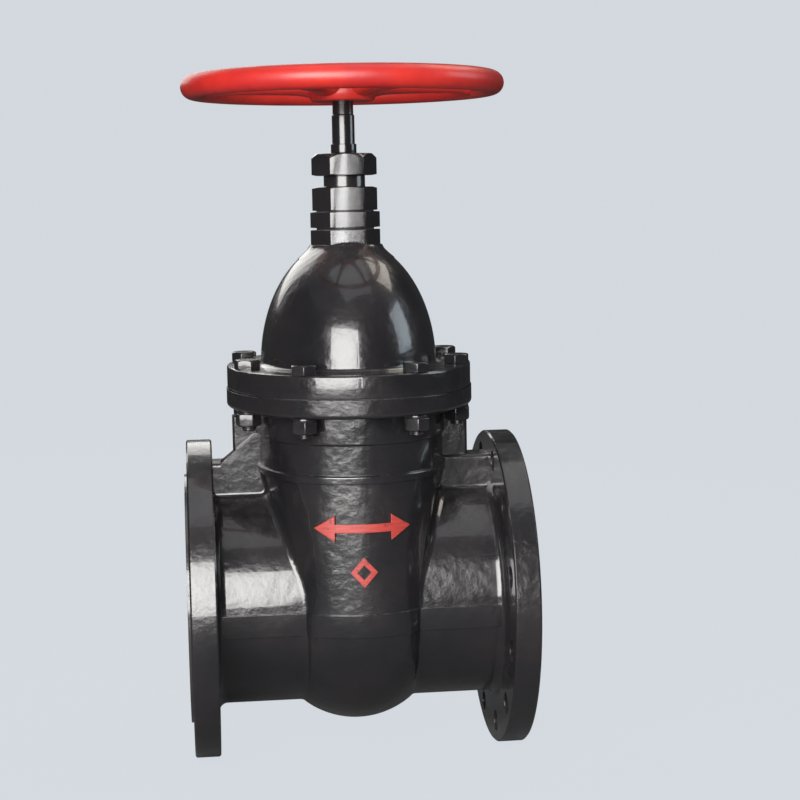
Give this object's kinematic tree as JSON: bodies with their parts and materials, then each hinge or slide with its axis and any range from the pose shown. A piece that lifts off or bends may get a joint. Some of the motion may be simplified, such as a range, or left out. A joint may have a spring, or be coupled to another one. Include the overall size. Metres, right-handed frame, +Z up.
{
  "type": "flanged gate valve",
  "caption": "Flanged cast-iron gate valve with a domed bonnet, a hexagonal gland stack, a non-rising stem and a red handwheel that lifts the wedge.",
  "frame": {"origin": "where the pipe axis crosses the stem axis, at the middle of the gate", "axes": "+X along the pipe to the right-hand flange, +Z up the stem towards the handwheel, -Y the front with the raised marks"},
  "size_m": [0.358, 0.3408, 0.732],
  "materials": {
    "black_paint": "gloss black enamel over cast iron",
    "wheel_red": "gloss red enamel",
    "mark_red": "hand-painted red on raised marks",
    "zinc": "zinc-plated steel",
    "brass": "turned brass",
    "bare_iron": "machined and primed cast iron",
    "graphite": "dark graphite sheet and braid"
  },
  "bodies": {
    "casing": {"valve_body": "black_paint", "bonnet": "black_paint", "bonnet_bolts": "black_paint", "bonnet_nuts": "black_paint", "bonnet_washers": "black_paint", "neck_nut": "black_paint", "packing_box": "black_paint", "gland_nut": "black_paint", "raised_marks": "mark_red", "seat_ring_left": "brass", "seat_ring_right": "brass", "gland_follower": "brass", "packing_base_ring": "brass", "thrust_washer_lower": "brass", "thrust_washer_upper": "brass", "bonnet_gasket": "graphite", "neck_gasket": "graphite", "packing_box_gasket": "graphite", "packing_rings": "graphite"},
    "spindle": {"stem": "black_paint", "dust_collar": "black_paint", "handwheel": "wheel_red", "handwheel_washer": "zinc", "handwheel_nut": "zinc"},
    "gate": {"wedge": "bare_iron", "wedge_ring_left": "brass", "wedge_ring_right": "brass", "stem_nut": "brass"}
  },
  "joints": [
    {"name": "wheel_turn", "type": "hinge", "parent": "casing", "child": "spindle", "pos_m": [0, 0, 0.543], "axis": [0, 0, 1], "range_deg": [0, 12720]},
    {"name": "gate_lift", "type": "slide", "parent": "casing", "child": "gate", "axis": [0, 0, 1], "range_m": [0, 0.2121]}
  ],
  "couplings": [
    {"joint": "gate_lift", "follows": "wheel_turn", "m_per_rad": 0.00095493}
  ]
}
